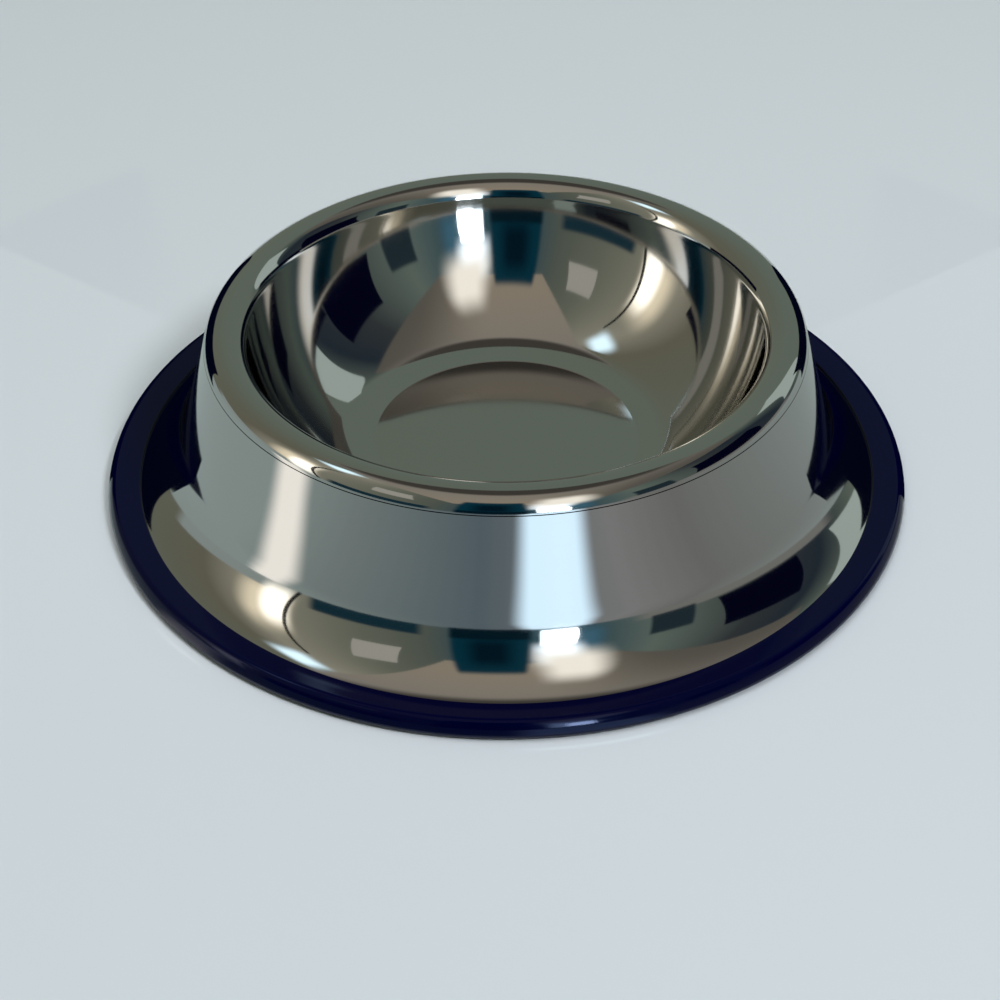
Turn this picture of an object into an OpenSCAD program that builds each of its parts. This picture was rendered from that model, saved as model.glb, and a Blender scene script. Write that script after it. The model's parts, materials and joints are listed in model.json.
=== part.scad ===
// Non-tip steel pet bowl: a drawn bowl with a rolled rim, a flared skirt and a rubber foot ring.
// Every piece is turned about Z. The origin is on the table, under the bowl's centre.

/* [Overall] */
// Outside diameter of the rubber ring
base_d = 208.8; // [190:0.2:260]
// Height of the rim's top above the table
bowl_h = 47.5; // [40:0.5:70]

/* [Sheet] */
// Thickness of the steel sheet
sheet_t = 0.6; // [0.4:0.05:0.9]
// Gap between the two sheets where they lap in the rim
lap_gap = 0.05; // [0.02:0.01:0.15]

/* [Rim] */
// Diameter of the circle along the top of the rim
rim_d = 141.6; // [125:0.2:160]
// Outside radius of the rolled rim
rim_r = 5.6; // [4:0.1:7.5]
// Straight lip of the rolled rim, past its shoulder
rim_lip = 0.4; // [0.2:0.05:1.5]
// How far the skirt's tucked edge runs round inside the rim, in degrees
tuck_sweep = 70; // [30:1:100]
// Width of the fine groove where the rim's lip meets the skirt
seam_w = 0.35; // [0.15:0.05:0.8]

/* [Bowl] */
// Diameter of the flat floor
floor_d = 69.6; // [50:0.2:85]
// Height of the floor's upper face above the table
floor_h = 9.5; // [6:0.5:16]
// Radius of the soft edge round the flat floor
floor_edge_r = 4; // [1:0.5:8]
// Width of the sloped band round the flat floor
band_w = 4.6; // [2:0.2:8]
// Slope of that band, in degrees
band_slope = 10; // [4:1:20]
// Radius of the corner between the floor and the wall
corner_r = 12; // [6:0.5:16]
// Lean of the wall where it leaves that corner, in degrees
wall_foot_lean = 57.4; // [40:0.2:66]
// Lean of the wall where it meets the rim, in degrees
wall_lean = 14; // [6:1:24]

/* [Skirt] */
// Width of the flange, from the corner that the skirt would have without its flare
flange_w = 13.2; // [12.4:0.1:16]
// Fall of the flange towards its edge, in degrees
flange_fall = 18; // [8:1:22]
// Length of skirt that the flare takes up
flare_rise = 10.3; // [7:0.1:16]
// Width of flange that the flare takes up
flare_run = 10.2; // [6:0.1:10.6]
// Width of the edge folded under the flange
hem_w = 3; // [1.5:0.1:4]

/* [Rubber ring] */
// Rubber outside the flange's edge
ring_wall = 4.7; // [4:0.1:7]
// Height of the ring at its shoulder
ring_h = 5.3; // [4.8:0.1:7]
// Rubber under the flange's edge
foot_t = 1.5; // [1:0.1:1.8]
// Width of the lip that laps over the flange
top_lip_w = 4.4; // [3.4:0.1:7]
// Thickness of that lip at its inner edge
top_lip_t = 0.45; // [0.3:0.05:0.7]
// Width of the lip that lies under the flange
foot_lip_w = 7.5; // [5:0.1:10]
// Radius of the ring's upper outer corner
shoulder_r = 1.5; // [0.8:0.1:2.2]
// Radius of the ring's lower outer corner
toe_r = 1; // [0.5:0.1:1.8]
// Slope of the ring's outer face, inwards as it rises, in degrees
outer_slope = 22; // [6:1:26]
// Radius of the small edges of both lips
lip_edge_r = 0.2; // [0.1:0.05:0.25]
// Clearance between the rubber and the steel
ring_fit = 0.05; // [0.02:0.01:0.15]

/* [Hidden] */

steel = [0.78, 0.77, 0.74];
skirt_steel = [0.70, 0.71, 0.72];
rubber = [0.03, 0.03, 0.06];

// Steps along the curves: sections round the axis, most degrees and most length of one step
turn_fn = 180;
arc_step = 6;
arc_chord_share = 0.0083;
arc_chord = base_d * arc_chord_share;
wall_steps = 16;
flare_steps = 24;
// How far the wall's ends and the flare's ends hold their own direction
wall_pull_share = 0.355;
flare_pull_share = 0.585;

function unit(a) = [cos(a), sin(a)];
function left_of(v) = [-v[1], v[0]];
function right_of(v) = [v[1], -v[0]];
function angle_of(v) = atan2(v[1], v[0]);
function steps_of(radius, sweep) =
    max(2, ceil(abs(sweep) / arc_step), ceil(abs(radius * sweep) * PI / 180 / arc_chord));

// A station is a point of the visible face and the direction that the face looks in.
// A hollow curve has a negative radius.
function arc_stations(centre, radius, from, to) =
    let (n = steps_of(radius, to - from))
    [for (i = [0:n]) let (a = from + (to - from) * i / n) [centre + radius * unit(a), unit(a)]];

function bezier(p, t) =
    pow(1 - t, 3) * p[0] + 3 * t * pow(1 - t, 2) * p[1] + 3 * t * t * (1 - t) * p[2] + pow(t, 3) * p[3];
function bezier_way(p, t) =
    pow(1 - t, 2) * (p[1] - p[0]) + 2 * t * (1 - t) * (p[2] - p[1]) + t * t * (p[3] - p[2]);
function bezier_stations(p, n) =
    [for (i = [0:n]) let (t = i / n, w = bezier_way(p, t)) [bezier(p, t), left_of(w) / norm(w)]];

function face(stations) = [for (s = stations) s[0]];
function back(stations, t) =
    [for (i = [len(stations) - 1:-1:0]) stations[i][0] - t * stations[i][1]];
function arc_points(centre, radius, from, to) = face(arc_stations(centre, radius, from, to));

// Centre of the rolled rim's section
rim_c = [rim_d / 2, bowl_h - rim_r];

// Edge of the flange: a full round over the doubled sheet
edge_r = base_d / 2 - ring_wall;
edge_c = [edge_r - sheet_t, foot_t + ring_fit + sheet_t];
flange_way = unit(-flange_fall);
flange_up = left_of(flange_way);
flange_end = edge_c + sheet_t * flange_up;

// Corner where the straight skirt and the flange would meet, and the skirt's lean from there to the rim
foot_corner = flange_end - (flange_w - sheet_t) / flange_way[0] * flange_way;
corner_to_rim = foot_corner - rim_c;
skirt_lean = angle_of(corner_to_rim) + acos(rim_r / norm(corner_to_rim));
skirt_out = unit(skirt_lean);
skirt_way = right_of(skirt_out);
shoulder = rim_c + rim_r * skirt_out;

// Bowl wall: a band round the floor, a corner, and a long gentle curve up to the rim
floor_edge_run = floor_edge_r * tan(band_slope / 2);
floor_edge_c = [floor_d / 2 - floor_edge_run, floor_h + floor_edge_r];
band_end = [floor_d / 2 + band_w, floor_h + band_w * tan(band_slope)];
corner_c = band_end + corner_r * left_of(unit(band_slope));
wall_foot_out = unit(180 - wall_foot_lean);
wall_foot = corner_c - corner_r * wall_foot_out;
wall_top_out = unit(180 - wall_lean);
wall_top = rim_c + rim_r * wall_top_out;
wall_pull = wall_pull_share * norm(wall_top - wall_foot);
wall = bezier_stations([
    wall_foot,
    wall_foot + wall_pull * right_of(wall_foot_out),
    wall_top - wall_pull * right_of(wall_top_out),
    wall_top
], wall_steps);

bowl_stations = concat(
    [[[0, floor_h], [0, 1]]],
    arc_stations(floor_edge_c, -floor_edge_r, 90, 90 + band_slope),
    arc_stations(corner_c, -corner_r, 90 + band_slope, 180 - wall_foot_lean),
    wall,
    arc_stations(rim_c, rim_r, 180 - wall_lean, skirt_lean),
    [[shoulder + rim_lip * skirt_way, skirt_out]]
);

// The skirt's tucked edge follows the inside of the rolled rim, then steps out to lie flush with it
tuck = sheet_t + lap_gap;
tuck_r = rim_r - tuck;
step_turn = atan2(tuck, seam_w);
step_in = shoulder + (rim_lip + lap_gap) * skirt_way - tuck * skirt_out;
step_out = step_in + seam_w * skirt_way + tuck * skirt_out;
step_back = sheet_t * (tan(step_turn / 2) * skirt_way - skirt_out);

flare_top = foot_corner - flare_rise * skirt_way;
flare_end = foot_corner + flare_run * flange_way;
flare = bezier_stations([
    flare_top,
    flare_top + flare_pull_share * (foot_corner - flare_top),
    flare_end + flare_pull_share * (foot_corner - flare_end),
    flare_end
], flare_steps);
tuck_stations = arc_stations(rim_c, tuck_r, skirt_lean + tuck_sweep, skirt_lean);
hem_start = edge_c - (hem_w - sheet_t) * flange_way;

skirt_outline = concat(
    face(tuck_stations),
    [step_in, step_out],
    face(flare),
    arc_points(edge_c, sheet_t, 90 - flange_fall, -90 - flange_fall),
    [hem_start - sheet_t * flange_up, hem_start],
    back(flare, sheet_t),
    [step_out + step_back, step_in + step_back],
    back(tuck_stations, sheet_t)
);

// Rubber ring: a channel that the flange's edge sits in
ring_r = base_d / 2;
channel_r = sheet_t + ring_fit;
lip_in = flange_end - (top_lip_w - sheet_t) * flange_way + ring_fit * flange_up;
lip_top = [lip_in[0], lip_in[1] + top_lip_t];
foot_in = [edge_r - foot_lip_w, edge_c[1] - channel_r];
// The outer face touches the toe's round and the shoulder's round
toe_c = [ring_r - toe_r, toe_r];
round_step = (toe_r - shoulder_r) * unit(outer_slope);
outer_face_h = ring_h - shoulder_r - toe_c[1] - round_step[1];
shoulder_c = toe_c + round_step + outer_face_h * [-tan(outer_slope), 1];
ring_outline = concat(
    arc_points([foot_in[0] + lip_edge_r, lip_edge_r], lip_edge_r, 180, 270),
    arc_points(toe_c, toe_r, -90, outer_slope),
    arc_points(shoulder_c, shoulder_r, outer_slope, 90),
    arc_points(lip_top + lip_edge_r * [1, -1], lip_edge_r, 90, 180),
    [lip_in],
    arc_points(edge_c, channel_r, 90 - flange_fall, -90 - flange_fall),
    [hem_start - channel_r * flange_up - lip_edge_r * flange_way],
    arc_points(foot_in + lip_edge_r * [1, -1], lip_edge_r, 90, 180)
);

module turned(outline) {
    rotate_extrude($fn = turn_fn) polygon(outline);
}

// Drawn bowl with its flat floor and rolled rim
module inner_bowl() {
    color(steel) turned(concat(face(bowl_stations), back(bowl_stations, sheet_t)));
}

// Flared skirt, tucked into the rim above and hemmed at its edge
module outer_skirt() {
    color(skirt_steel) turned(skirt_outline);
}

// Non-slip ring round the flange
module rubber_ring() {
    color(rubber) turned(ring_outline);
}

inner_bowl();
outer_skirt();
rubber_ring();
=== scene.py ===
"""Dressed model of a non-tip steel pet bowl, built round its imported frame, and its studio.

The bowl is three pieces turned about Z: a drawn bowl with a rolled rim, a skirt that flares out
to a folded edge, and a rubber ring over that edge. The bowl's sizes are in millimetres, the
studio's are in metres and angles are in degrees; meshes are in metres.
"""

from __future__ import annotations

import json
import logging
import math
from dataclasses import dataclass
from enum import Enum
from typing import Any, Iterable, Sequence

import bpy
from mathutils import Matrix, Vector

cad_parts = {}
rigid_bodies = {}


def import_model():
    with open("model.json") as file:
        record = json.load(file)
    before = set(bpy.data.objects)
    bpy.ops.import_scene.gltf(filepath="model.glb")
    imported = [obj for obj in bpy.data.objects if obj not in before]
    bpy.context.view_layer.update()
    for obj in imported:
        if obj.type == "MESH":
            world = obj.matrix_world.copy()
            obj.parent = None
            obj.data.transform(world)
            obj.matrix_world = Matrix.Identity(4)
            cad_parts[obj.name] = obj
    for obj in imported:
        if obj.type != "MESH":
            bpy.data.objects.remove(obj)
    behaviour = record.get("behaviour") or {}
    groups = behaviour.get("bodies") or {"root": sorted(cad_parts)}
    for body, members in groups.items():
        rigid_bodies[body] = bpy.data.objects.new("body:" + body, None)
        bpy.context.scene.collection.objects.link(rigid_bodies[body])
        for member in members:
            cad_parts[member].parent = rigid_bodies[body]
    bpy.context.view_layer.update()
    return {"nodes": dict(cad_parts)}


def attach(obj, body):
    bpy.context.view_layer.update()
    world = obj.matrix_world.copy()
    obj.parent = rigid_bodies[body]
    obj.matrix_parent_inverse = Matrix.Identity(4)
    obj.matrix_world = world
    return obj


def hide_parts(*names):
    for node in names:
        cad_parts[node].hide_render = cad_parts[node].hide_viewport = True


LOG = logging.getLogger("pet_bowl")

MM = 0.001
BODY = "root"
PICTURE_PX = 1000

# Points of an outline that lie nearer to each other than this, in millimetres, are one point
WELD = 1e-5
# Edges that turn by more than this stay sharp
SHARP_ANGLE = 32.0

# Heights in metres at which the cards that lie just over the floor cover one another
TABLE_SHADE_H = 0.0004
DARK_H = 0.0005
GLARE_H = 0.0006

# A station is a point of a section and the direction that the face looks in there
Station = tuple[Vector, Vector]


def unit(angle: float) -> Vector:
    """Unit vector of the section plane at an angle from the outward direction."""
    a = math.radians(angle)
    return Vector((math.cos(a), math.sin(a)))


def left_of(v: Vector) -> Vector:
    """The vector turned a quarter turn to its left."""
    return Vector((-v.y, v.x))


def right_of(v: Vector) -> Vector:
    """The vector turned a quarter turn to its right."""
    return Vector((v.y, -v.x))


def linear(hex_colour: str) -> tuple[float, float, float, float]:
    """Turns an sRGB hex colour into linear values.

    Args:
        hex_colour: The colour, such as "#C8D0D6".

    Returns:
        Red, green, blue and an alpha of one, linear.
    """
    digits = hex_colour.lstrip("#")
    values = [int(digits[i : i + 2], 16) / 255 for i in (0, 2, 4)]
    low = 0.04045
    red, green, blue = (v / 12.92 if v <= low else ((v + 0.055) / 1.055) ** 2.4 for v in values)
    return red, green, blue, 1.0


def add_object(name: str, data: bpy.types.ID) -> bpy.types.Object:
    """Puts a mesh, a lamp or a camera into the scene.

    Args:
        name: Name of the new object.
        data: The data that it shows.

    Returns:
        The new object.
    """
    made = bpy.data.objects.new(name, data)
    bpy.context.scene.collection.objects.link(made)
    return made


# Section curves


@dataclass(frozen=True)
class Curves:
    """Steps along the section's curves."""

    turn: float = 2.0
    chord: float = 0.8
    bezier_steps: int = 48

    def arc(self, centre: Vector, radius: float, start: float, end: float) -> list[Station]:
        """Stations along an arc.

        Args:
            centre: Centre of the arc.
            radius: Its radius, negative where the face is hollow.
            start: Direction of the face at the start.
            end: Direction of the face at the end.

        Returns:
            The stations, both ends included.
        """
        sweep = end - start
        length = abs(radius) * math.radians(abs(sweep))
        steps = max(2, math.ceil(abs(sweep) / self.turn), math.ceil(length / self.chord))
        out = []
        for i in range(steps + 1):
            way = unit(start + sweep * i / steps)
            out.append((centre + radius * way, way))
        return out

    def bezier(self, p: Sequence[Vector]) -> list[Station]:
        """Stations along a cubic curve, whose face is on its left.

        Args:
            p: The curve's four control points.

        Returns:
            The stations, both ends included.
        """
        out = []
        for i in range(self.bezier_steps + 1):
            t = i / self.bezier_steps
            s = 1 - t
            point = s**3 * p[0] + 3 * t * s * s * p[1] + 3 * t * t * s * p[2] + t**3 * p[3]
            way = s * s * (p[1] - p[0]) + 2 * t * s * (p[2] - p[1]) + t * t * (p[3] - p[2])
            out.append((point, left_of(way).normalized()))
        return out

    def line(self, start: Vector, end: Vector, steps: int) -> list[Station]:
        """Stations along a straight stretch, whose face is on its left, both ends included."""
        face = left_of(end - start).normalized()
        return [(start.lerp(end, i / steps), face) for i in range(steps + 1)]


def face_of(stations: Iterable[Station]) -> list[Vector]:
    """Points of the visible face."""
    return [s[0] for s in stations]


def back_of(stations: Sequence[Station], thickness: float) -> list[Vector]:
    """Points of the hidden face of a sheet, in the opposite order."""
    return [s[0] - thickness * s[1] for s in reversed(stations)]


def without_doubles(outline: Iterable[Vector]) -> list[Vector]:
    """Leaves out the points of a closed outline that lie on the point before them.

    Args:
        outline: Points of the section, in millimetres.

    Returns:
        The points that are left, in the same order.
    """
    points: list[Vector] = []
    for p in outline:
        if not points or (p - points[-1]).length > WELD:
            points.append(p)
    if (points[0] - points[-1]).length < WELD:
        points.pop()
    return points


def turned_faces(rows: Sequence[Sequence[int]], segments: int) -> list[tuple[int, ...]]:
    """Joins each row of points to the next one, and the last to the first.

    Args:
        rows: Each row's points, by number: one on the axis, or else one at each step round it.
        segments: Number of steps round the axis.

    Returns:
        The faces, each as its points' numbers.
    """
    faces: list[tuple[int, ...]] = []
    for low, high in zip(rows, [*rows[1:], rows[0]]):
        if len(low) == 1 and len(high) == 1:
            continue
        for i in range(segments):
            j = (i + 1) % segments
            if len(low) == 1:
                faces.append((low[0], high[i], high[j]))
            elif len(high) == 1:
                faces.append((low[i], high[0], low[j]))
            else:
                faces.append((low[i], high[i], high[j], low[j]))
    return faces


def lathe(name: str, outline: Sequence[Vector], segments: int) -> bpy.types.Object:
    """Turns a closed outline about Z.

    Args:
        name: Name of the new object.
        outline: Points of the section, in millimetres, ending on the axis where the first does.
        segments: Number of steps round the axis.

    Returns:
        A closed mesh object in metres, with its faces looking outwards.
    """
    verts: list[tuple[float, float, float]] = []
    rows: list[list[int]] = []
    for p in without_doubles(outline):
        if p.x < WELD:
            rows.append([len(verts)])
            verts.append((0.0, 0.0, p.y * MM))
            continue
        rows.append(list(range(len(verts), len(verts) + segments)))
        for i in range(segments):
            a = math.tau * i / segments
            verts.append((p.x * MM * math.cos(a), p.x * MM * math.sin(a), p.y * MM))
    mesh = bpy.data.meshes.new(name)
    mesh.from_pydata(verts, [], turned_faces(rows, segments))
    mesh.validate()
    mesh.update()
    if signed_volume(mesh) < 0:
        mesh.flip_normals()
    mesh.polygons.foreach_set("use_smooth", [True] * len(mesh.polygons))
    mesh.set_sharp_from_angle(angle=math.radians(SHARP_ANGLE))
    return add_object(name, mesh)


def signed_volume(mesh: bpy.types.Mesh) -> float:
    """Adds up the volume inside a closed mesh.

    Args:
        mesh: The mesh.

    Returns:
        Its volume, negative where its faces look inwards.
    """
    mesh.calc_loop_triangles()
    total = 0.0
    for tri in mesh.loop_triangles:
        a, b, c = (mesh.vertices[i].co for i in tri.vertices)
        total += a.dot(b.cross(c)) / 6
    return total


# Material helpers


def add_node(
    tree: bpy.types.NodeTree,
    kind: str,
    settings: dict[str, Any] | None = None,
    inputs: dict[Any, Any] | Sequence[Any] = (),
) -> bpy.types.Node:
    """Adds one node with its settings and links.

    Args:
        tree: Node tree that takes the node.
        kind: Blender's type name of the node.
        settings: Properties of the node by name.
        inputs: Values, or output sockets to link, by the input's name or index, or in order.

    Returns:
        The new node.
    """
    node = tree.nodes.new(kind)
    for key, value in (settings or {}).items():
        setattr(node, key, value)
    for key, value in inputs.items() if isinstance(inputs, dict) else enumerate(inputs):
        socket = node.inputs[key]
        if isinstance(value, bpy.types.NodeSocket):
            tree.links.new(value, socket)
        else:
            socket.default_value = value
    return node


def new_material(name: str) -> tuple[bpy.types.Material, bpy.types.NodeTree, bpy.types.Node]:
    """Makes a node material with nothing but its output.

    Args:
        name: Name of the material.

    Returns:
        The material, its node tree and its output node.
    """
    material = bpy.data.materials.new(name)
    material.use_nodes = True
    tree = material.node_tree
    tree.nodes.clear()
    return material, tree, tree.nodes.new("ShaderNodeOutputMaterial")


class Run(Enum):
    """How the distance along a piece's section grows with radius and height."""

    UP = 1.0
    DOWN = -1.0


def turning_coords(tree: bpy.types.NodeTree, run: Run, spread: float) -> bpy.types.NodeSocket:
    """Coordinates for marks that run round the axis.

    Args:
        tree: Node tree that takes the nodes.
        run: Which way the section climbs, so that the distance along it never stands still.
        spread: Metres of round-the-axis travel that count as one metre across the marks.

    Returns:
        A vector whose Z is the distance along the section and whose X and Y change slowly.
    """
    coords = add_node(tree, "ShaderNodeTexCoord").outputs["Object"]
    parts = add_node(tree, "ShaderNodeSeparateXYZ", inputs={0: coords}).outputs
    flat = add_node(tree, "ShaderNodeCombineXYZ", inputs=parts[:2]).outputs[0]
    length = {"operation": "LENGTH"}
    radius = add_node(tree, "ShaderNodeVectorMath", length, (flat,)).outputs["Value"]
    climb = {"operation": "MULTIPLY_ADD"}
    along = add_node(tree, "ShaderNodeMath", climb, (parts[2], run.value, radius)).outputs[0]
    slow = [
        add_node(tree, "ShaderNodeMath", {"operation": "MULTIPLY"}, (part, spread)).outputs[0]
        for part in parts[:2]
    ]
    return add_node(tree, "ShaderNodeCombineXYZ", inputs=(*slow, along)).outputs[0]


@dataclass(frozen=True)
class PolishedSteel:
    """Stainless steel sheet, drawn, then polished while it turns.

    The eye gets a slightly warm mirror, a little hazier across the turning marks than along them,
    with fine marks round the axis and a few soft smears. Ranges say where a noise starts to count and
    where it counts in full, and shares are shares of the roughness.
    """

    name: str
    run: Run
    colour: str = "#C0C0BE"
    roughness: float = 0.055
    anisotropy: float = 0.85
    anisotropy_turn: float = 0.25
    mark_mm: float = 0.35
    mark_depth_mm: float = 0.0002
    mark_spread: float = 0.02
    mark_detail: float = 3.0
    mark_contrast: float = 0.6
    mark_range: tuple[float, float] = (0.3, 0.7)
    mark_shares: tuple[float, float] = (0.85, 1.15)
    smear_mm: float = 22.0
    smear_detail: float = 4.0
    smear_contrast: float = 0.55
    smear_range: tuple[float, float] = (0.45, 0.75)
    smear_share: float = 0.25

    def material(self) -> bpy.types.Material:
        """Builds the node material.

        Returns:
            The material, marks, smears and all.
        """
        material, tree, output = new_material(self.name)
        marks = add_node(
            tree,
            "ShaderNodeTexNoise",
            inputs={
                "Vector": turning_coords(tree, self.run, self.mark_spread),
                "Scale": 1 / (self.mark_mm * MM),
                "Detail": self.mark_detail,
                "Roughness": self.mark_contrast,
            },
        ).outputs["Fac"]
        smears = add_node(
            tree,
            "ShaderNodeTexNoise",
            inputs={
                "Vector": add_node(tree, "ShaderNodeTexCoord").outputs["Object"],
                "Scale": 1 / (self.smear_mm * MM),
                "Detail": self.smear_detail,
                "Roughness": self.smear_contrast,
            },
        ).outputs["Fac"]
        low, high = (self.roughness * share for share in self.mark_shares)
        rough_marks = add_node(
            tree, "ShaderNodeMapRange", inputs=(marks, *self.mark_range, low, high)
        ).outputs[0]
        haze = add_node(
            tree,
            "ShaderNodeMapRange",
            inputs=(smears, *self.smear_range, 0.0, self.roughness * self.smear_share),
        ).outputs[0]
        roughness = add_node(
            tree, "ShaderNodeMath", {"operation": "ADD"}, (rough_marks, haze)
        ).outputs[0]
        bump = add_node(
            tree,
            "ShaderNodeBump",
            inputs={"Strength": 1.0, "Distance": self.mark_depth_mm * MM, "Height": marks},
        ).outputs[0]
        round_axis = {"direction_type": "RADIAL", "axis": "Z"}
        tangent = add_node(tree, "ShaderNodeTangent", round_axis).outputs[0]
        shader = add_node(
            tree,
            "ShaderNodeBsdfPrincipled",
            inputs={
                "Base Color": linear(self.colour),
                "Metallic": 1.0,
                "Roughness": roughness,
                "Anisotropic": self.anisotropy,
                "Anisotropic Rotation": self.anisotropy_turn,
                "Tangent": tangent,
                "Normal": bump,
            },
        )
        tree.links.new(shader.outputs[0], output.inputs[0])
        return material


@dataclass(frozen=True)
class MouldedRubber:
    """Black synthetic rubber, moulded against a smooth steel mould.

    The eye gets a near-black ring with a cold tint, a soft satin highlight, a fine grain and a few
    dust motes. The motes lie where a coarse noise passes its dust range.
    """

    name: str = "moulded_black_rubber"
    colour: str = "#010226"
    shine: str = "#B4C4F0"
    dust_colour: str = "#1E2130"
    roughness: float = 0.09
    refraction: float = 1.33
    grain_mm: float = 0.35
    grain_depth_mm: float = 0.004
    grain_detail: float = 2.0
    mote_spacing_mm: float = 1.6
    mote_edge: tuple[float, float] = (0.03, 0.06)
    patch_mm: float = 9.0
    dust_range: tuple[float, float] = (0.56, 0.66)
    dust_cover: float = 0.5
    sheen_range: tuple[float, float] = (0.3, 0.7)
    sheen_shares: tuple[float, float] = (0.85, 1.2)

    def material(self) -> bpy.types.Material:
        """Builds the node material.

        Returns:
            The material, grain, dust and all.
        """
        material, tree, output = new_material(self.name)
        place = add_node(tree, "ShaderNodeTexCoord").outputs["Object"]
        grain, patches = (
            add_node(
                tree,
                "ShaderNodeTexNoise",
                inputs={"Vector": place, "Scale": 1 / (size * MM), "Detail": self.grain_detail},
            ).outputs["Fac"]
            for size in (self.grain_mm, self.patch_mm)
        )
        cells = add_node(
            tree,
            "ShaderNodeTexVoronoi",
            inputs={"Vector": place, "Scale": 1 / (self.mote_spacing_mm * MM)},
        ).outputs["Distance"]
        motes = add_node(
            tree, "ShaderNodeMapRange", inputs=(cells, *self.mote_edge, 1.0, 0.0)
        ).outputs[0]
        dusty = add_node(
            tree, "ShaderNodeMapRange", inputs=(patches, *self.dust_range, 0.0, self.dust_cover)
        ).outputs[0]
        dust = add_node(tree, "ShaderNodeMath", {"operation": "MULTIPLY"}, (motes, dusty)).outputs[0]
        colour = add_node(
            tree,
            "ShaderNodeMix",
            {"data_type": "RGBA"},
            {"Factor": dust, 6: linear(self.colour), 7: linear(self.dust_colour)},
        ).outputs[2]
        low, high = (self.roughness * share for share in self.sheen_shares)
        roughness = add_node(
            tree, "ShaderNodeMapRange", inputs=(patches, *self.sheen_range, low, high)
        ).outputs[0]
        bump = add_node(
            tree,
            "ShaderNodeBump",
            inputs={"Strength": 1.0, "Distance": self.grain_depth_mm * MM, "Height": grain},
        ).outputs[0]
        shader = add_node(
            tree,
            "ShaderNodeBsdfPrincipled",
            inputs={
                "Base Color": colour,
                "Roughness": roughness,
                "IOR": self.refraction,
                "Specular Tint": linear(self.shine),
                "Normal": bump,
            },
        )
        tree.links.new(shader.outputs[0], output.inputs[0])
        return material


@dataclass(frozen=True)
class PaleFloor:
    """Pale semi-gloss laminate under the bowl.

    The eye gets a cool near-white plane with a faint pebble grain and a soft sheen at a low angle.
    """

    name: str = "pale_laminate_floor"
    colour: str = "#DCE3E8"
    roughness: float = 0.3
    refraction: float = 1.5
    pebble_mm: float = 1.4
    pebble_depth_mm: float = 0.012
    pebble_detail: float = 3.0

    def material(self) -> bpy.types.Material:
        """Builds the node material.

        Returns:
            The material.
        """
        material, tree, output = new_material(self.name)
        place = add_node(tree, "ShaderNodeTexCoord").outputs["Object"]
        pebbles = add_node(
            tree,
            "ShaderNodeTexNoise",
            inputs={"Vector": place, "Scale": 1 / (self.pebble_mm * MM), "Detail": self.pebble_detail},
        ).outputs["Fac"]
        bump = add_node(
            tree,
            "ShaderNodeBump",
            inputs={"Strength": 1.0, "Distance": self.pebble_depth_mm * MM, "Height": pebbles},
        ).outputs[0]
        shader = add_node(
            tree,
            "ShaderNodeBsdfPrincipled",
            inputs={
                "Base Color": linear(self.colour),
                "Roughness": self.roughness,
                "IOR": self.refraction,
                "Normal": bump,
            },
        )
        tree.links.new(shader.outputs[0], output.inputs[0])
        return material


# The bowl's pieces


@dataclass(frozen=True)
class Layout:
    """Sizes that the pieces share, and the places that follow from them."""

    base_d: float = 208.8
    bowl_h: float = 47.5
    sheet_t: float = 0.6
    lap_gap: float = 0.05
    rim_d: float = 141.6
    rim_r: float = 5.6
    rim_lip: float = 0.1
    flange_w: float = 13.2
    flange_fall: float = 18.0
    hem_w: float = 3.0
    ring_wall: float = 4.7
    foot_t: float = 1.5
    ring_fit: float = 0.05
    segments: int = 288
    curves: Curves = Curves()

    @property
    def rim_c(self) -> Vector:
        """Centre of the rolled rim's section."""
        return Vector((self.rim_d / 2, self.bowl_h - self.rim_r))

    @property
    def flange_way(self) -> Vector:
        """Direction of the flange, outwards."""
        return unit(-self.flange_fall)

    @property
    def flange_up(self) -> Vector:
        """Direction that the flange's visible face looks in."""
        return left_of(self.flange_way)

    @property
    def edge_r(self) -> float:
        """Outside radius of the flange's folded edge."""
        return self.base_d / 2 - self.ring_wall

    @property
    def edge_c(self) -> Vector:
        """Centre of the round of the folded edge."""
        return Vector((self.edge_r - self.sheet_t, self.foot_t + self.ring_fit + self.sheet_t))

    @property
    def flange_end(self) -> Vector:
        """Where the flange's visible face meets the round of its edge."""
        return self.edge_c + self.sheet_t * self.flange_up

    @property
    def hem_start(self) -> Vector:
        """Where the folded edge ends, on the sheet's lower side."""
        return self.edge_c - (self.hem_w - self.sheet_t) * self.flange_way

    @property
    def foot_corner(self) -> Vector:
        """Corner that the straight skirt and the flange would make without the flare."""
        return self.flange_end - (self.flange_w - self.sheet_t) / self.flange_way.x * self.flange_way

    @property
    def skirt_lean(self) -> float:
        """Direction of the straight skirt's face, from the line that touches the rim."""
        across = self.foot_corner - self.rim_c
        return math.degrees(math.atan2(across.y, across.x) + math.acos(self.rim_r / across.length))

    @property
    def skirt_out(self) -> Vector:
        """Direction that the straight skirt's visible face looks in."""
        return unit(self.skirt_lean)

    @property
    def skirt_way(self) -> Vector:
        """Direction of the straight skirt, downwards."""
        return right_of(self.skirt_out)

    @property
    def shoulder(self) -> Vector:
        """Where the rolled rim runs into the straight skirt."""
        return self.rim_c + self.rim_r * self.skirt_out


@dataclass
class SubAssembly:
    """What every piece of the bowl has."""

    layout: Layout
    piece_name: str = ""
    node: str = ""
    slot: str = ""

    def outline(self) -> list[Vector]:
        """Closed section of the piece."""
        raise NotImplementedError

    def finish(self) -> PolishedSteel | MouldedRubber:
        """Surface finish of the piece."""
        raise NotImplementedError

    def build(self) -> bpy.types.Object:
        """Builds the piece, dresses it and sets it on the frame.

        Returns:
            The finished object.
        """
        piece = lathe(self.piece_name, self.outline(), self.layout.segments)
        piece.data.materials.append(self.finish().material())
        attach(piece, BODY)
        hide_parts(self.node)
        LOG.info("%s: %d faces", piece.name, len(piece.data.polygons))
        return piece


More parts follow.
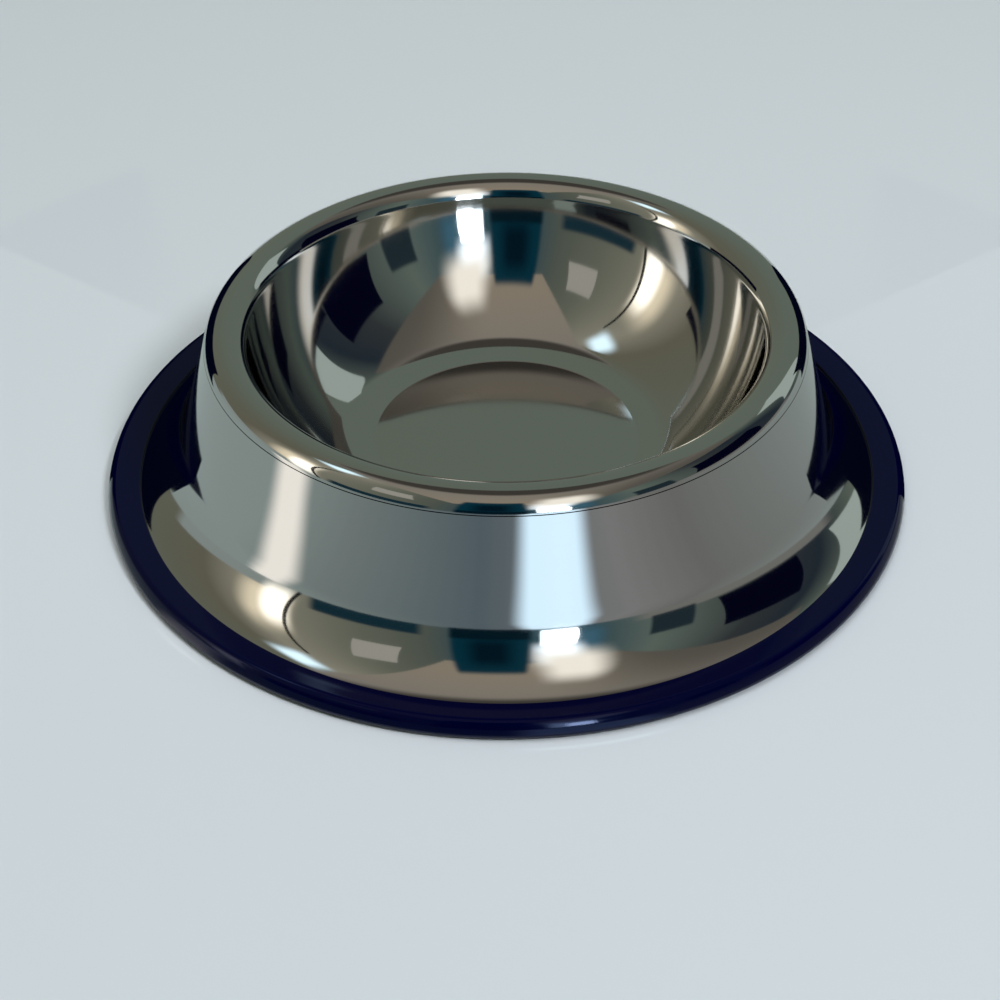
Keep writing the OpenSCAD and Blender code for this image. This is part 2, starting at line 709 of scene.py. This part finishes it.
@dataclass
class InnerBowl(SubAssembly):
    """Drawn bowl with its flat floor and its rolled rim."""

    piece_name: str = "drawn_bowl"
    node: str = "inner_bowl"
    slot: str = "polished_steel"
    floor_d: float = 69.6
    floor_h: float = 9.5
    floor_edge_r: float = 4.0
    band_w: float = 4.6
    band_slope: float = 10.0
    corner_r: float = 12.0
    wall_foot_lean: float = 57.4
    wall_lean: float = 14.0
    wall_pull_share: float = 0.355
    floor_steps: int = 12

    def stations(self) -> list[Station]:
        """Follows the visible face.

        Returns:
            Its stations, from the floor's centre to the rim's lip.
        """
        lay, curves = self.layout, self.layout.curves
        edge_run = self.floor_edge_r * math.tan(math.radians(self.band_slope / 2))
        edge_c = Vector((self.floor_d / 2 - edge_run, self.floor_h + self.floor_edge_r))
        rise = self.band_w * math.tan(math.radians(self.band_slope))
        band_end = Vector((self.floor_d / 2 + self.band_w, self.floor_h + rise))
        corner_c = band_end + self.corner_r * left_of(unit(self.band_slope))
        foot_out = unit(180 - self.wall_foot_lean)
        foot = corner_c - self.corner_r * foot_out
        top_out = unit(180 - self.wall_lean)
        top = lay.rim_c + lay.rim_r * top_out
        pull = self.wall_pull_share * (top - foot).length
        wall = [foot, foot + pull * right_of(foot_out), top - pull * right_of(top_out), top]
        centre = Vector((0.0, self.floor_h))
        out = curves.line(centre, Vector((edge_c.x, self.floor_h)), self.floor_steps)
        out += curves.arc(edge_c, -self.floor_edge_r, 90, 90 + self.band_slope)
        out += curves.arc(corner_c, -self.corner_r, 90 + self.band_slope, 180 - self.wall_foot_lean)
        out += curves.bezier(wall)
        out += curves.arc(lay.rim_c, lay.rim_r, 180 - self.wall_lean, lay.skirt_lean)
        out.append((lay.shoulder + lay.rim_lip * lay.skirt_way, lay.skirt_out))
        return out

    def outline(self) -> list[Vector]:
        """Closed section of the sheet."""
        stations = self.stations()
        return face_of(stations) + back_of(stations, self.layout.sheet_t)

    def finish(self) -> PolishedSteel:
        """Mirror-polished steel, turned about the axis."""
        return PolishedSteel("polished_steel_bowl", Run.UP)


@dataclass
class OuterSkirt(SubAssembly):
    """Skirt that is tucked into the rim above, flares out below and is folded at its edge."""

    piece_name: str = "flared_skirt"
    node: str = "outer_skirt"
    slot: str = "polished_steel"
    tuck_sweep: float = 70.0
    seam_w: float = 0.2
    flare_rise: float = 11.2
    flare_run: float = 10.2
    flare_pull_shares: tuple[float, float] = (0.61, 0.585)
    straight_steps: int = 24

    def flare(self) -> list[Station]:
        """Follows the curve from the straight skirt to the flange.

        Returns:
            Its stations, both ends included.
        """
        lay = self.layout
        corner = lay.foot_corner
        top = corner - self.flare_rise * lay.skirt_way
        end = corner + self.flare_run * lay.flange_way
        upper, lower = self.flare_pull_shares
        return lay.curves.bezier([top, top.lerp(corner, upper), end.lerp(corner, lower), end])

    def outline(self) -> list[Vector]:
        """Draws the sheet, with its joggle under the rim's lip and its folded edge.

        Returns:
            Points of the closed section.
        """
        lay, t = self.layout, self.layout.sheet_t
        tuck = t + lay.lap_gap
        turn = math.degrees(math.atan2(tuck, self.seam_w))
        step_in = lay.shoulder + (lay.rim_lip + lay.lap_gap) * lay.skirt_way - tuck * lay.skirt_out
        step_out = step_in + self.seam_w * lay.skirt_way + tuck * lay.skirt_out
        step_back = t * (math.tan(math.radians(turn / 2)) * lay.skirt_way - lay.skirt_out)
        lean = lay.skirt_lean
        tucked = lay.curves.arc(lay.rim_c, lay.rim_r - tuck, lean + self.tuck_sweep, lean)
        flare = self.flare()
        straight = lay.curves.line(step_out, flare[0][0], self.straight_steps)
        fall = lay.flange_fall
        edge = lay.curves.arc(lay.edge_c, t, 90 - fall, -90 - fall)
        shown = straight[:-1] + flare
        out = face_of(tucked) + [step_in] + face_of(shown) + face_of(edge)
        out += [lay.hem_start - t * lay.flange_up, lay.hem_start]
        out += back_of(flare, t) + [step_out + step_back, step_in + step_back]
        return out + back_of(tucked, t)

    def finish(self) -> PolishedSteel:
        """Mirror-polished steel, turned about the axis."""
        return PolishedSteel("polished_steel_skirt", Run.DOWN)


@dataclass
class RubberRing(SubAssembly):
    """Non-slip ring, moulded as a channel that the flange's edge sits in."""

    piece_name: str = "rubber_foot_ring"
    node: str = "rubber_ring"
    slot: str = "black_rubber"
    ring_h: float = 5.3
    top_lip_w: float = 4.0
    top_lip_t: float = 0.45
    foot_lip_w: float = 7.5
    toe_r: float = 1.8
    outer_r: float = 7.0
    outer_slopes: tuple[float, float] = (12.0, 32.0)
    lip_edge_r: float = 0.2
    curves: Curves = Curves(turn=4.0, chord=0.4)

    def outline(self) -> list[Vector]:
        """Draws the channel that grips the folded edge.

        Returns:
            Points of the closed section.
        """
        lay, curves = self.layout, self.curves
        outer = lay.base_d / 2
        channel = lay.sheet_t + lay.ring_fit
        small = self.lip_edge_r
        lip_in = lay.flange_end - (self.top_lip_w - lay.sheet_t) * lay.flange_way
        lip_in += lay.ring_fit * lay.flange_up
        lip_top = lip_in + Vector((0.0, self.top_lip_t))
        foot_in = Vector((lay.edge_r - self.foot_lip_w, lay.edge_c.y - channel))
        down_in = Vector((small, -small))
        fall = lay.flange_fall
        low, high = self.outer_slopes
        toe_c = Vector((outer - self.toe_r, self.toe_r))
        outer_c = toe_c + (self.toe_r - self.outer_r) * unit(low)
        crest = outer_c + self.outer_r * unit(high)
        shoulder_r = (self.ring_h - crest.y) / (1 - math.sin(math.radians(high)))
        shoulder_c = crest - shoulder_r * unit(high)
        arcs = [
            curves.arc(Vector((foot_in.x + small, small)), small, 180, 270),
            curves.arc(toe_c, self.toe_r, -90, low),
            curves.arc(outer_c, self.outer_r, low, high),
            curves.arc(shoulder_c, shoulder_r, high, 90),
            curves.arc(lip_top + down_in, small, 90, 180),
        ]
        out = [p for arc in arcs for p in face_of(arc)]
        out.append(lip_in)
        out += face_of(curves.arc(lay.edge_c, channel, 90 - fall, -90 - fall))
        out.append(lay.hem_start - channel * lay.flange_up - small * lay.flange_way)
        return out + face_of(curves.arc(foot_in + down_in, small, 90, 180))

    def finish(self) -> MouldedRubber:
        """Moulded black rubber."""
        return MouldedRubber()


# The studio


@dataclass(frozen=True)
class FittedCamera:
    """Camera at the photograph's viewing angle.

    Its distance from the origin is in metres, and pan, tilt and roll turn it away from looking
    straight at the origin.
    """

    distance: float = 0.5714
    elevation: float = 37.159
    pan: float = 0.173
    tilt: float = -0.932
    roll: float = 0.251
    focal_px: float = 2150.7
    sensor_mm: float = 36.0
    clip_start: float = 0.01

    def build(self) -> bpy.types.Object:
        """Makes the camera and sets it as the scene's own.

        Returns:
            The camera object.
        """
        a = math.radians(self.elevation)
        back = Vector((0.0, -math.cos(a), math.sin(a)))
        right, forward = Vector((1.0, 0.0, 0.0)), -back
        up = right.cross(forward)
        pan = Matrix.Rotation(math.radians(self.pan), 3, up)
        forward, right = pan @ forward, pan @ right
        tilt = Matrix.Rotation(math.radians(self.tilt), 3, right)
        forward, up = tilt @ forward, tilt @ up
        roll = Matrix.Rotation(math.radians(self.roll), 3, forward)
        right, up = roll @ right, roll @ up
        data = bpy.data.cameras.new("fitted_camera")
        data.sensor_width = self.sensor_mm
        data.lens = self.focal_px * self.sensor_mm / PICTURE_PX
        data.clip_start = self.clip_start
        camera = add_object("fitted_camera", data)
        camera.matrix_world = Matrix((right, up, -forward)).transposed().to_4x4()
        camera.matrix_world.translation = back * self.distance
        bpy.context.scene.camera = camera
        return camera


def set_stops(ramp: bpy.types.Node, tones: Sequence[tuple[float, str]]) -> None:
    """Sets a colour ramp's stops.

    Args:
        ramp: Colour ramp node, with the two stops that it starts with.
        tones: Places along the ramp, from the lowest up, and their colours.
    """
    stops = ramp.color_ramp.elements
    stops.remove(stops[1])
    stops[0].position = tones[0][0]
    stops[0].color = linear(tones[0][1])
    for place, colour in tones[1:]:
        stops.new(place).color = linear(colour)


class Edge(Enum):
    """How a studio card ends: the share of its half width at which it starts to fade."""

    HARD = 1.0
    FIRM = 0.8
    BLEND = 0.5
    SOFT = 0.25


def card_material(
    name: str,
    colour: str,
    strength: float,
    edge: Edge,
    tones: Sequence[tuple[float, str]] = (),
    faded_ways: int = 2,
) -> bpy.types.Material:
    """Makes a glow that is even, or toned along the card, or fades out towards the card's edges.

    Args:
        name: Name of the material.
        colour: Colour of the glow.
        strength: Its strength, one for the colour as written.
        edge: How the card ends.
        tones: Shares of the card's length and the colours there, where they take the colour's place.
        faded_ways: One to fade along the card's length only, two to fade across it as well.

    Returns:
        The material.
    """
    material, tree, output = new_material(name)
    glow = add_node(tree, "ShaderNodeEmission", inputs={"Color": linear(colour), "Strength": strength})
    place = add_node(tree, "ShaderNodeUVMap", {"uv_map": "place"}).outputs[0]
    parts = add_node(tree, "ShaderNodeSeparateXYZ", inputs={0: place}).outputs
    if tones:
        ramp = add_node(tree, "ShaderNodeValToRGB", inputs={0: parts[0]})
        set_stops(ramp, tones)
        tree.links.new(ramp.outputs[0], glow.inputs["Color"])
    if edge is Edge.HARD:
        tree.links.new(glow.outputs[0], output.inputs[0])
        return material
    fades = []
    for part in parts[:faded_ways]:
        scaled = {"operation": "MULTIPLY_ADD"}
        offset = add_node(tree, "ShaderNodeMath", scaled, (part, 2.0, -1.0)).outputs[0]
        side = add_node(tree, "ShaderNodeMath", {"operation": "ABSOLUTE"}, (offset,)).outputs[0]
        fade = add_node(
            tree,
            "ShaderNodeMapRange",
            {"interpolation_type": "SMOOTHSTEP"},
            {0: side, 1: edge.value, 2: 1.0, 3: 1.0, 4: 0.0},
        )
        fades.append(fade.outputs[0])
    cover = fades[0]
    for fade in fades[1:]:
        cover = add_node(tree, "ShaderNodeMath", {"operation": "MULTIPLY"}, (cover, fade)).outputs[0]
    clear = add_node(tree, "ShaderNodeBsdfTransparent")
    mix = add_node(tree, "ShaderNodeMixShader", inputs=(cover, clear.outputs[0], glow.outputs[0]))
    tree.links.new(mix.outputs[0], output.inputs[0])
    return material


def card_mesh(
    name: str, rows: Sequence[Sequence[tuple[float, float, float]]], material: bpy.types.Material
) -> bpy.types.Object:
    """Makes a card that the steel and the rubber mirror, and that neither lights the floor nor shows.

    Args:
        name: Name of the card.
        rows: Its points in metres, row by row.
        material: Its material.

    Returns:
        The card.
    """
    across = len(rows[0])
    verts = [p for row in rows for p in row]
    faces = []
    for j in range(len(rows) - 1):
        for i in range(across - 1):
            first = j * across + i
            faces.append((first, first + 1, first + across + 1, first + across))
    mesh = bpy.data.meshes.new(name)
    mesh.from_pydata(verts, [], faces)
    layer = mesh.uv_layers.new(name="place")
    for loop in mesh.loops:
        row, column = divmod(loop.vertex_index, across)
        layer.data[loop.index].uv = (column / (across - 1), row / (len(rows) - 1))
    mesh.materials.append(material)
    card = add_object(name, mesh)
    card.visible_camera = False
    card.visible_diffuse = False
    card.visible_shadow = False
    return card


@dataclass(frozen=True)
class StudioCard:
    """A glowing or dark card of the studio.

    Its place is given by directions from the bowl: azimuth from the camera's side, growing to the
    right, and elevation above the floor. Its lean is how much further round its top is than its foot.
    """

    name: str
    azimuths: tuple[float, float]
    elevations: tuple[float, float]
    colour: str
    strength: float = 1.0
    distance: float = 2.0
    edge: Edge = Edge.HARD
    lean: float = 0.0
    steps: int = 8

    def point(self, u: float, v: float) -> tuple[float, float, float]:
        """Finds a point of the card.

        Args:
            u: Share of the card's width, from its first azimuth.
            v: Share of its height, from its lower elevation.

        Returns:
            The point, in metres.
        """
        first, last = self.azimuths
        low, high = self.elevations
        a = math.radians(first + (last - first) * u + self.lean * (v - 0.5))
        e = math.radians(low + (high - low) * v)
        flat = self.distance * math.cos(e)
        return flat * math.sin(a), -flat * math.cos(a), self.distance * math.sin(e)

    def build(self) -> bpy.types.Object:
        """Makes the card.

        Returns:
            The card.
        """
        shares = [i / self.steps for i in range(self.steps + 1)]
        rows = [[self.point(u, v) for u in shares] for v in shares]
        material = card_material(self.name, self.colour, self.strength, self.edge)
        return card_mesh(self.name, rows, material)


def flat_section(height: float, turns: dict[float, float]) -> tuple[tuple[float, float, float], ...]:
    """Section of an arc card that lies flat, from its height and its turn at each radius."""
    return tuple((radius, height, turn) for radius, turn in turns.items())


@dataclass(frozen=True)
class ArcCard:
    """Card bent in an arc round the bowl.

    Its section gives each row's radius and height in metres, and how far the row turns on from the
    card's azimuths. It fades at its two ends only.
    """

    name: str
    azimuths: tuple[float, float]
    section: tuple[tuple[float, float, float], ...]
    colour: str
    strength: float = 1.0
    edge: Edge = Edge.HARD
    tones: tuple[tuple[float, str], ...] = ()
    steps: int = 60

    def build(self) -> bpy.types.Object:
        """Makes the card.

        Returns:
            The card.
        """
        first, last = self.azimuths
        shares = [i / self.steps for i in range(self.steps + 1)]
        rows = []
        for radius, height, turn in self.section:
            angles = [math.radians(turn + first + (last - first) * share) for share in shares]
            rows.append([(radius * math.sin(a), -radius * math.cos(a), height) for a in angles])
        tones = tuple(((azimuth - first) / (last - first), colour) for azimuth, colour in self.tones)
        material = card_material(self.name, self.colour, self.strength, self.edge, tones, 1)
        return card_mesh(self.name, rows, material)


@dataclass(frozen=True)
class Surround:
    """Plain room round the bowl: walls whose tone changes round the compass, and a ceiling."""

    walls: tuple[tuple[float, str], ...] = (
        (-180, "#788378"),
        (-105, "#787666"),
        (-88, "#AAA695"),
        (-45, "#787C6F"),
        (-26, "#666D64"),
        (-10, "#3A5A66"),
        (24, "#3A5A66"),
        (48, "#728078"),
        (84, "#3E4346"),
        (110, "#2C3741"),
        (136, "#788378"),
        (180, "#788378"),
    )
    ceiling: str = "#9B958D"
    ceiling_right: str = "#6C6860"
    zenith: str = "#4E4A45"
    ceiling_glow: str = "#AA9E8D"
    # Ratio of the ceiling's height above the bowl to each wall's distance
    front: float = 0.85
    behind: float = 2.1
    left: float = 2.3
    right: float = 1.2
    strength: float = 1.0
    # Where the ceiling's edge, glow, shade and zenith start and end, along a unit direction
    edge_range: tuple[float, float] = (-0.006, 0.006)
    glow_range: tuple[float, float] = (-0.2, 0.6)
    shade_range: tuple[float, float] = (0.08, 0.62)
    zenith_range: tuple[float, float] = (0.96, 1.02)
    zenith_tilt: float = 0.35

    def build(self) -> None:
        """Makes the world's nodes."""
        world = bpy.data.worlds.new("plain_room")
        bpy.context.scene.world = world
        world.use_nodes = True
        tree = world.node_tree
        tree.nodes.clear()
        output = tree.nodes.new("ShaderNodeOutputWorld")
        coords = add_node(tree, "ShaderNodeTexCoord").outputs["Generated"]
        east, north, up = add_node(tree, "ShaderNodeSeparateXYZ", inputs={0: coords}).outputs[:3]
        south, west = (
            add_node(tree, "ShaderNodeMath", {"operation": "MULTIPLY"}, (way, -1.0)).outputs[0]
            for way in (north, east)
        )
        azimuth = add_node(tree, "ShaderNodeMath", {"operation": "ARCTAN2"}, (east, south)).outputs[0]
        scaled = {"operation": "MULTIPLY_ADD"}
        turn = add_node(tree, "ShaderNodeMath", scaled, (azimuth, 1 / math.tau, 0.5)).outputs[0]
        ramp = add_node(tree, "ShaderNodeValToRGB", inputs=(turn,))
        set_stops(ramp, [(angle / 360 + 0.5, colour) for angle, colour in self.walls])
        sides = [
            add_node(tree, "ShaderNodeMath", {"operation": "MULTIPLY"}, (value, ratio)).outputs[0]
            for value, ratio in (
                (south, self.front),
                (north, self.behind),
                (east, self.right),
                (west, self.left),
            )
        ]
        widest = sides[0]
        most = {"operation": "MAXIMUM"}
        for side in sides[1:]:
            widest = add_node(tree, "ShaderNodeMath", most, (widest, side)).outputs[0]
        over = add_node(tree, "ShaderNodeMath", {"operation": "SUBTRACT"}, (up, widest)).outputs[0]
        overhead = add_node(tree, "ShaderNodeMath", scaled, (north, self.zenith_tilt, up)).outputs[0]
        # Each layer fades in over the ones before it
        layers = (
            ("LINEAR", south, self.glow_range, linear(self.ceiling_glow)),
            ("SMOOTHSTEP", east, self.shade_range, linear(self.ceiling_right)),
            ("SMOOTHSTEP", overhead, self.zenith_range, linear(self.zenith)),
        )
        ceiling: Any = linear(self.ceiling)
        for fade, way, reach, colour in layers:
            share = add_node(
                tree, "ShaderNodeMapRange", {"interpolation_type": fade}, (way, *reach, 0.0, 1.0)
            ).outputs[0]
            ceiling = add_node(
                tree, "ShaderNodeMix", {"data_type": "RGBA"}, {"Factor": share, 6: ceiling, 7: colour}
            ).outputs[2]
        mask = add_node(tree, "ShaderNodeMapRange", inputs=(over, *self.edge_range, 0.0, 1.0)).outputs[0]
        room = add_node(
            tree,
            "ShaderNodeMix",
            {"data_type": "RGBA"},
            {"Factor": mask, 6: ramp.outputs[0], 7: ceiling},
        ).outputs[2]
        glow = add_node(tree, "ShaderNodeBackground", inputs=(room, self.strength))
        tree.links.new(glow.outputs[0], output.inputs[0])


@dataclass(frozen=True)
class SoftLamp:
    """Large soft lamp that lights the floor and the rubber, and stays out of the polished steel."""

    name: str
    place: tuple[float, float, float]
    size: float
    watts: float
    colour: str = "#F6FAFF"

    def build(self) -> bpy.types.Object:
        """Makes the lamp, looking at the bowl.

        Returns:
            The lamp.
        """
        data = bpy.data.lights.new(self.name, "AREA")
        data.shape = "DISK"
        data.size = self.size
        data.energy = self.watts
        data.color = linear(self.colour)[:3]
        lamp = add_object(self.name, data)
        lamp.location = self.place
        lamp.rotation_mode = "QUATERNION"
        lamp.rotation_quaternion = Vector(self.place).to_track_quat("Z", "Y")
        lamp.visible_glossy = False
        return lamp


@dataclass
class Studio:
    """Floor, room, cards, lamps and camera."""

    floor_size: float = 6.0
    floor_finish: PaleFloor = PaleFloor()
    lamps: tuple[SoftLamp, ...] = (
        SoftLamp("soft_top", (-0.1, 0.0, 1.8), 1.6, 13.6),
        SoftLamp("soft_side", (1.25, -1.2, 2.05), 0.6, 33.0),
    )
    # A studio card's row: name, azimuths, elevations, colour, strength, distance in metres
    cards: tuple[StudioCard | ArcCard, ...] = (
        StudioCard("window_softbox", (9.5, 21.5), (1.5, 21), "#DDF1FF", 7.0, 3.00, Edge.FIRM),
        StudioCard("window_core", (14, 21.5), (3, 15), "#EAF5FF", 30.0, 2.97, Edge.FIRM),
        StudioCard("window_upper", (6, 27), (14, 46), "#EAF5FF", 3.0, 2.95, Edge.SOFT, lean=5),
        StudioCard("window_haze", (14, 32), (-4, 40), "#5C93AE", 0.65, 3.10, Edge.SOFT),
        StudioCard("window_glow", (6, 40), (20, 68), "#FFF8EC", 1.6, 2.90, Edge.SOFT, lean=14),
        StudioCard("warm_wall_panel", (-92, -66), (-4, 48), "#FFF0D2", 1.3, 2.00, Edge.SOFT, lean=-10),
        StudioCard("warm_core", (-82, -67), (-4, 42), "#FFF8EA", 3.0, 1.95, Edge.SOFT, lean=-8),
        StudioCard("thin_flag", (-72.5, -71), (0, 54), "#0A1016", 1.0, 1.80, lean=-14),
        StudioCard("strip_light", (-108, -80), (52, 66), "#D8F2FF", 2.2, 1.80, Edge.SOFT, lean=-6),
        StudioCard("dark_flag", (-18, 8), (-8, 52), "#093C4D", 1.0, 1.20, Edge.FIRM),
        StudioCard("dark_flag_core", (-15, 5), (4, 48), "#041F2D", 1.0, 1.19, Edge.SOFT),
        StudioCard("dark_flag_foot", (-18, 8), (-8, 13), "#06202C", 1.0, 1.18, Edge.FIRM),
        StudioCard("low_flag_left", (-63, -24), (-4, 13), "#193744", 1.0, 1.90, Edge.FIRM),
        StudioCard("low_flag_right", (43, 59), (4, 25), "#28373F", 1.0, 1.90, Edge.FIRM),
        StudioCard("dark_panel_right", (69, 100), (8, 35), "#04051E", 1.0, 1.90, lean=6),
        StudioCard("pale_panel_right", (118, 136), (10, 42), "#BFCDC7", 1.0, 1.70, lean=11),
        StudioCard("small_pale_card", (-51, -35), (29, 46), "#BBB8AE", 1.0, 1.90, lean=-5),
        StudioCard("low_pale_left", (-120, -64), (-1, 9), "#A3AEAB", 1.0, 1.98, Edge.FIRM),
        StudioCard("low_pale_right", (36, 118), (-1, 7), "#8A8A86", 1.0, 1.98, Edge.FIRM),
        # Painted shade: a sheet just over the floor, seen only in the steel, stands for the table with
        # its shade painted in, darkest in front and paler at the sides
        ArcCard(
            "painted_table_shade_card",
            (-126, 126),
            flat_section(TABLE_SHADE_H, {0.107: 0, 0.5: 0, 2.9: 0}),
            "#8E9A99",
            tones=(
                (-126, "#A6B4B2"),
                (-70, "#A6B4B2"),
                (-45, "#8E9A99"),
                (-8, "#6A7A83"),
                (30, "#9A9B9B"),
                (50, "#868785"),
                (126, "#A6B4B2"),
            ),
        ),
        ArcCard(
            "window_glare",
            (0.8, 25),
            flat_section(GLARE_H, {0.106: -1.5, 0.2: -1.0, 0.29: 0.0, 0.4: 0.6, 1.4: 1.8, 2.9: 2.0}),
            "#D2ECFF",
            2.0,
            Edge.BLEND,
        ),
        ArcCard(
            "wall_glare",
            (-70.5, -52.5),
            flat_section(
                GLARE_H,
                {0.106: 13, 0.146: 4, 0.19: -1, 0.24: -5, 0.41: -10, 0.7: -14, 1.4: -16, 2.9: -17},
            ),
            "#FFFAF2",
            1.5,
            Edge.SOFT,
        ),
        *(
            ArcCard(name, azimuths, ((radius, DARK_H, 0), (radius, height, turn)), "#03061C")
            for name, azimuths, radius, height, turn in (
                ("low_dark_wall_right", (111, 143), 0.2, 0.09, -2),
                ("low_dark_wall_left", (216, 252), 0.2, 0.09, -2),
                # Painted shade: the last card is a low dark band just outside the ring's back half, seen
                # only in the steel, standing for the shade at the ring's foot
                ("painted_shade_behind_ring", (80.3, 274.7), 0.105, 0.0086, 0),
            )
        ),
    )

    def floor(self) -> bpy.types.Object:
        """Lays the floor.

        Returns:
            The floor.
        """
        half = self.floor_size / 2
        mesh = bpy.data.meshes.new("pale_floor")
        corners = [(-half, -half, 0), (half, -half, 0), (half, half, 0), (-half, half, 0)]
        mesh.from_pydata(corners, [], [(0, 1, 2, 3)])
        mesh.materials.append(self.floor_finish.material())
        floor = add_object("pale_floor", mesh)
        return floor

    def build(self) -> None:
        """Sets the studio up."""
        self.floor()
        for card in self.cards:
            card.build()
        for lamp in self.lamps:
            lamp.build()
        Surround().build()
        FittedCamera().build()
        bpy.context.scene.view_settings.view_transform = "Standard"
        LOG.info("studio: %d cards", len(self.cards))


def main() -> None:
    """Builds the bowl round its frame, then the studio."""
    logging.basicConfig(level=logging.INFO, format="%(name)s: %(message)s")
    for old in list(bpy.data.objects):
        bpy.data.objects.remove(old)
    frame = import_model()
    LOG.info("frame nodes: %s", ", ".join(sorted(frame["nodes"])))
    layout = Layout()
    for part in (InnerBowl(layout), OuterSkirt(layout), RubberRing(layout)):
        part.build()
    Studio().build()


if __name__ == "__main__":
    main()
